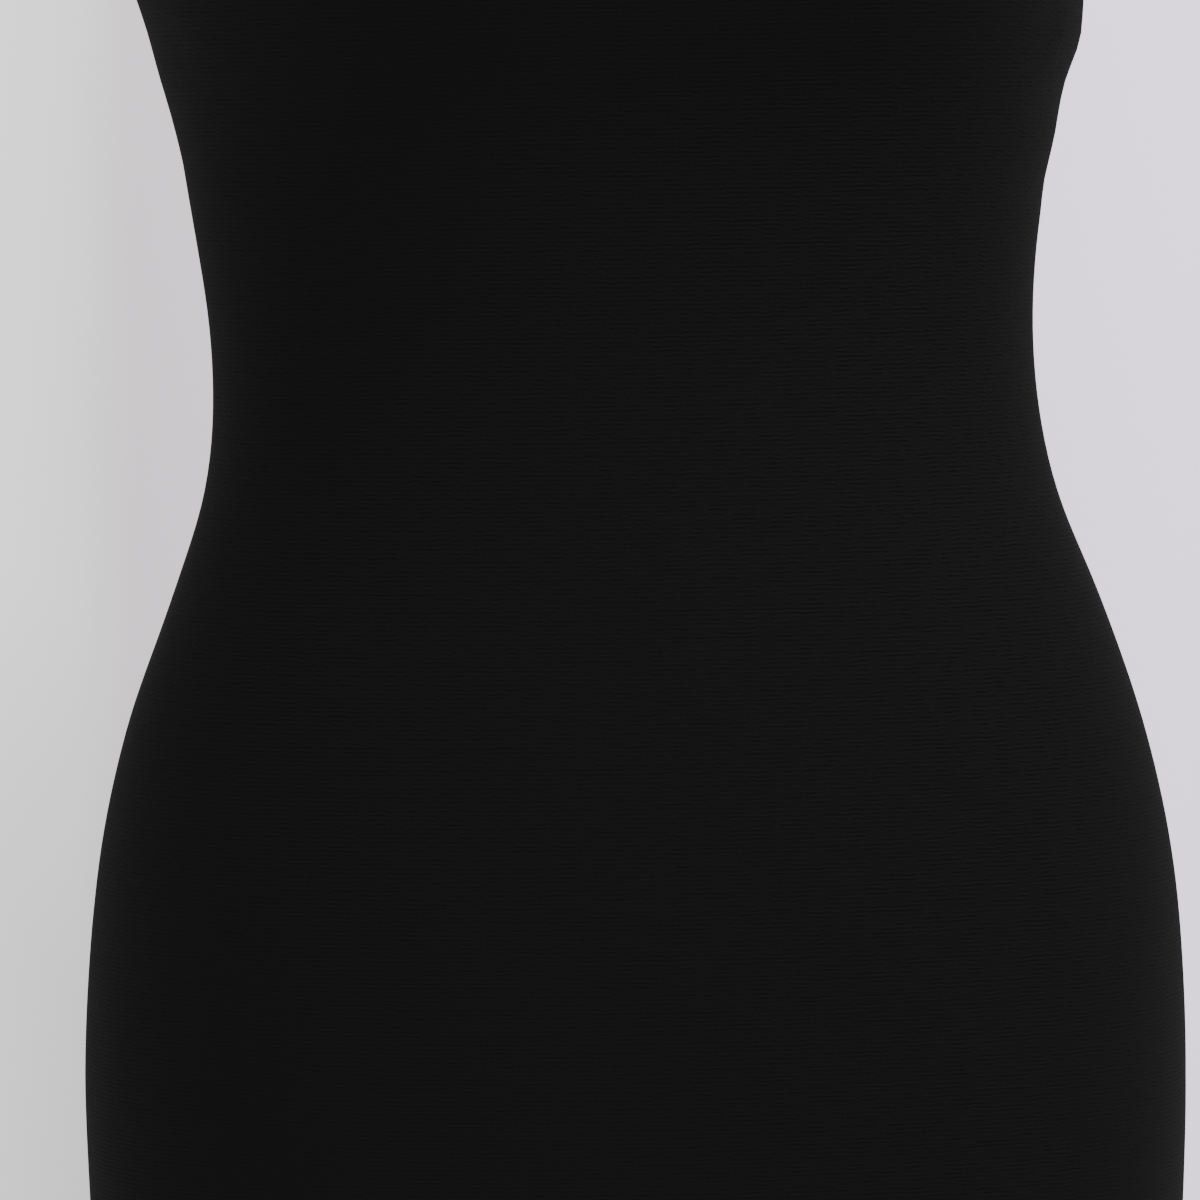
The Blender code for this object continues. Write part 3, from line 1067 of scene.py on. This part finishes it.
thread_material, tree, output = new_material("black_polyester_thread")
fibre = add_node(tree, "ShaderNodeAttribute", {"attribute_name": "thread"})
twist = add_node(
    tree,
    "ShaderNodeTexWave",
    {"wave_type": "BANDS", "bands_direction": "DIAGONAL", "wave_profile": "SIN"},
    Vector=fibre.outputs["Vector"],
    Scale=math.pi / 10 / PLY_TURN,
    Distortion=0.6,
    Detail=1.0,
)
fuzz = add_node(tree, "ShaderNodeTexNoise", Vector=fibre.outputs["Vector"], Scale=1 / FIBRE, Detail=2.0)
lay = add_node(
    tree,
    "ShaderNodeMath",
    {"operation": "MULTIPLY_ADD"},
    _0=fuzz.outputs["Fac"],
    _1=FUZZ,
    _2=twist.outputs["Fac"],
)
thread_bump = add_node(tree, "ShaderNodeBump", Height=lay.outputs[0], Distance=TWIST_HEIGHT, Strength=1.0)
thread_tone = add_node(tree, "ShaderNodeMix", {"data_type": "RGBA"}, Factor=lay.outputs[0])
thread_tone.inputs["A"].default_value = colour("#141416")
thread_tone.inputs["B"].default_value = colour("#242426")
thread_shader = add_node(
    tree,
    "ShaderNodeBsdfPrincipled",
    Base_Color=thread_tone.outputs["Result"],
    Normal=thread_bump.outputs[0],
    Roughness=0.5,
    IOR=1.5,
    Specular_IOR_Level=0.4,
    Sheen_Weight=0.03,
)
tree.links.new(thread_shader.outputs[0], output.inputs["Surface"])
print("thread material:", len(tree.nodes), "nodes")

# %% [markdown]
# ## One stitch, many times
#
# A stitch is a short bead of thread, rounded at both ends. Thousands of separate objects would be slow,
# and a particle system would not keep them in rows. So one bead is made by an operator and copied with
# numpy to each place, turned along its row, stretched to its length and set half into the cloth.

# %% One bead of thread, copied to many places
Stitch = namedtuple("Stitch", "place along normal length")
BLUNTNESS = 0.6  # a power below 1 gives blunter ends than an egg's
THREAD_FLATNESS = 0.4  # a thread's half height as a share of its width

bead = bmesh.new()
bmesh.ops.create_uvsphere(
    bead, u_segments=6, v_segments=5, radius=1.0, matrix=Matrix.Rotation(math.pi / 2, 4, "Y")
)
bead_points = np.array([tuple(point.co) for point in bead.verts])
bead_points[:, 0] = np.sign(bead_points[:, 0]) * np.abs(bead_points[:, 0]) ** BLUNTNESS
bead_faces = [[point.index for point in face.verts] for face in bead.faces]
bead.free()
print("bead:", len(bead_points), "points,", len(bead_faces), "faces")


def sewn(name, stitches, width):
    """All the stitches as one object."""
    ways = np.array([[tuple(s.along), tuple(s.normal.cross(s.along)), tuple(s.normal)] for s in stitches])
    halves = np.array([(s.length / 2, width / 2, width * THREAD_FLATNESS) for s in stitches])
    local = bead_points[None] * halves[:, None]
    middles = np.array([tuple(s.place) for s in stitches])
    points = np.einsum("nvk,nkx->nvx", local, ways) + middles[:, None]
    faces = []
    for first in range(0, len(stitches) * len(bead_points), len(bead_points)):
        faces += [[first + corner for corner in face] for face in bead_faces]
    mesh = bpy.data.meshes.new(name)
    mesh.from_pydata(points.reshape(-1, 3).tolist(), [], faces)
    mesh.attributes.new("thread", "FLOAT_VECTOR", "POINT").data.foreach_set("vector", local.ravel())
    mesh.shade_smooth()
    print(name + ":", len(stitches), "stitches,", sum(len(face) - 2 for face in faces), "triangles")
    return dressed(name, mesh, thread_material)


# %% [markdown]
# ## Stitches of the turned edges
#
# A twin-needle machine sews the turned edges down. Outside it leaves two even rows of short stitches.
# Inside, its lower thread zigzags between the rows and over the raw edge. The places come from walks over
# the cloth, straight off each opening, so that both rows keep their distance to the fold all round.

# %% Walks from the fold to the raw edge
STITCH_PITCH = 2.8 * MM
ROWS = {"hem": (15.5 * MM, 20 * MM), "neck": (3.5 * MM, 7.5 * MM)}  # from the fold to either row
ROWS["armhole_right"] = ROWS["armhole_left"] = ROWS["neck"]
NEAR_ROW, FAR_ROW, RAW_EDGE = 2, 4, 5  # the steps of a walk that end there


def steps_inwards(name):
    """Three steps to the near row, two to the far row and one to the raw edge."""
    near, far = ROWS[name]
    return [near / 3] * 3 + [(far - near) / 2] * 2 + [ALLOWANCE[name] - far]


def walks_inwards(name, line):
    """A walk from each stitch's place on the fold, over the outside of the turned edge."""
    starts = spaced([at.place for at in line], STITCH_PITCH, closed=True)
    corners = KDTree(len(line))
    for number, at in enumerate(line):
        corners.insert(at.place, number)
    corners.balance()
    walks = []
    for start in starts:
        nearest = corners.find_n(start, 2)
        off = sum((line[index].off / (gap + MM) for place, index, gap in nearest), Vector()).normalized()
        walks.append(walk(surface, start, -off, steps_inwards(name)))
    return walks


walks = {name: walks_inwards(name, line) for name, line in edge_lines.items()}
print("stitches round each opening:", {name: len(found) for name, found in walks.items()})

# %% Two rows of needle thread outside
NEEDLE_THREAD = 0.36 * MM
STITCH_SHARE = 0.8  # of its pitch that a stitch shows on the outside
PROUD = 0.02 * MM  # how far a thread's middle lies above the cloth


def along_row(places):
    """The way along a closed row at each of its places."""
    before = places[-1:] + places[:-1]
    after = places[1:] + places[:1]
    return [(b - a).normalized() for a, b in zip(before, after)]


outside = []
for found in walks.values():
    for row in (NEAR_ROW, FAR_ROW):
        ways = along_row([met[row][0] for met in found])
        for met, along in zip(found, ways):
            place, normal = met[row]
            outside.append(Stitch(place + normal * PROUD, along, normal, STITCH_SHARE * STITCH_PITCH))
hem_and_edge_stitches = sewn("edge_stitches", outside, NEEDLE_THREAD)

# %% Lower thread inside
LOOPER_THREAD = 0.30 * MM
STITCH_OVERLAP = 0.4 * MM  # so that the threads meet at their ends
UNDER = 2 * BEND_RADIUS + PROUD  # from the outside of the cloth to the inner side of its turned edge


def across(a, b, normal):
    """A stitch from one place to another."""
    way = (b - a).normalized()
    normal = (normal - way * normal.dot(way)).normalized()
    return Stitch((a + b) / 2, way, normal, (b - a).length + STITCH_OVERLAP)


inside = []
for found in walks.values():
    under = []
    for met in found:
        under.append([met[row][0] - met[row][1] * UNDER for row in (NEAR_ROW, FAR_ROW, RAW_EDGE)])
    for number, met in enumerate(found):
        near = under[number][0]
        far, raw = under[(number + 1) % len(under)][1:]
        inside.append(across(near, far, -met[FAR_ROW][1]))
        inside.append(across(far, raw, -met[FAR_ROW][1]))
looper_threads = sewn("looper_threads", inside, LOOPER_THREAD)

# %% [markdown]
# ## Overlocking
#
# An overlocker binds the seams' raw edges: a needle thread runs straight along each strip, and loops of
# thread go out from it to the edge and back. A spiral curve would give whole loops, but only their inner
# side can be seen, so the same bead is laid along the three ways that show.

# %% Overlock of the seam allowances
OVERLOCK_THREAD = 0.28 * MM


def inside_of_strip(row):
    """Places on the inner side of a strip, over a row of places on its outer side."""
    return [place - surface.find_nearest(place)[1] * (STRIP_THICKNESS + PROUD) for place in row]


overlock = []
for rows in strip_lines:
    needle = spaced(inside_of_strip(rows[1]), STITCH_PITCH)
    edge = spaced(inside_of_strip(rows[-1]), STITCH_PITCH)
    for number in range(min(len(needle), len(edge)) - 1):
        normal = -surface.find_nearest(needle[number])[1]
        overlock.append(across(needle[number], needle[number + 1], normal))
        overlock.append(across(needle[number], edge[number], normal))
        overlock.append(across(edge[number], needle[number + 1], normal))
overlock_threads = sewn("overlock_threads", overlock, OVERLOCK_THREAD)

# %% [markdown]
# ## The cut
#
# The panels are cut smaller than the body and stretched over it. Each comes from a piece of knit 0.40 m
# wide and 1.00 m long, and covers about 0.3 m2 of it.

# %% Sheets of cloth
print("sheets:", [panel.name for panel in panels.values()])
